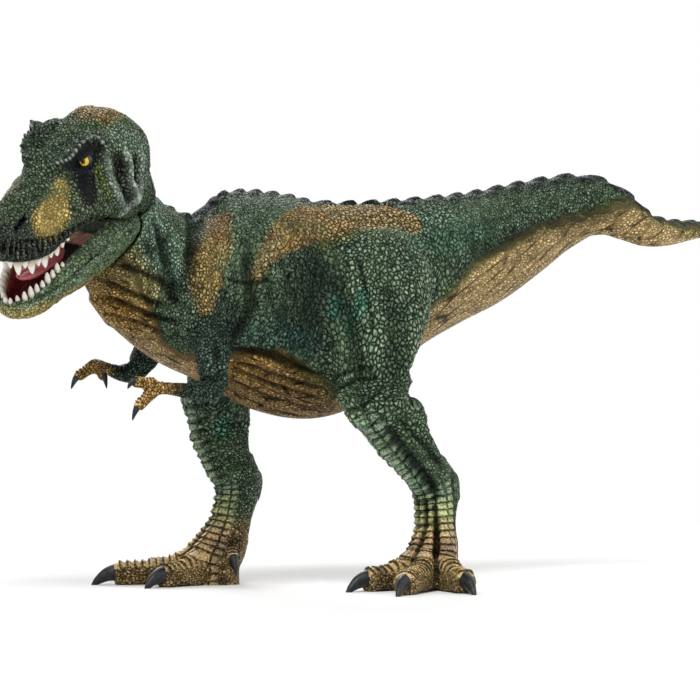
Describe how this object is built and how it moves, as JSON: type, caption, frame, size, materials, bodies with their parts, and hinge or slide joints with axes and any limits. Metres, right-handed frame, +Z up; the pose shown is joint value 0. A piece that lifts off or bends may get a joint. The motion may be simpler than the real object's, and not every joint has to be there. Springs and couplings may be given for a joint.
{
  "type": "toy dinosaur figure",
  "caption": "Walking two-legged toy dinosaur with small arms, a long raised tail, separate claws and teeth, and a lower jaw that opens on a hinge.",
  "frame": {"origin": "middle of the figure's outline on the floor plane that its soles stand on", "axes": "+Z up; -X the way the figure walks and faces; -Y its left side"},
  "size_m": [0.2766, 0.109, 0.1433],
  "materials": {
    "skin": "moulded scales, dark wash and dry-brushed paint",
    "head_skin": "moulded scales, dark wash and dry-brushed paint",
    "claws": "satin dark grey",
    "teeth": "satin ivory white",
    "tongue": "satin wet red",
    "eyes": "glossy yellow with a dark pupil",
    "pin": "plain steel wire"
  },
  "bodies": {
    "figure": {"trunk": "skin", "tail": "skin", "left_leg": "skin", "right_leg": "skin", "left_arm": "skin", "right_arm": "skin", "head": "head_skin", "upper_teeth": "teeth", "left_eye": "eyes", "right_eye": "eyes", "jaw_pin": "pin", "left_inner_toe_claw": "claws", "left_middle_toe_claw": "claws", "left_outer_toe_claw": "claws", "right_inner_toe_claw": "claws", "right_middle_toe_claw": "claws", "right_outer_toe_claw": "claws", "left_spur_claw": "claws", "right_spur_claw": "claws", "left_finger_claw_1": "claws", "left_finger_claw_2": "claws", "right_finger_claw_1": "claws", "right_finger_claw_2": "claws"},
    "jaw": {"lower_jaw": "head_skin", "lower_teeth": "teeth", "tongue": "tongue"}
  },
  "joints": [
    {"name": "jaw_hinge", "type": "hinge", "parent": "figure", "child": "jaw", "pos_m": [-0.09027, -0.00399, 0.11206], "axis": [0.5131, -0.832, -0.2108], "range_deg": [-9, 4]}
  ]
}
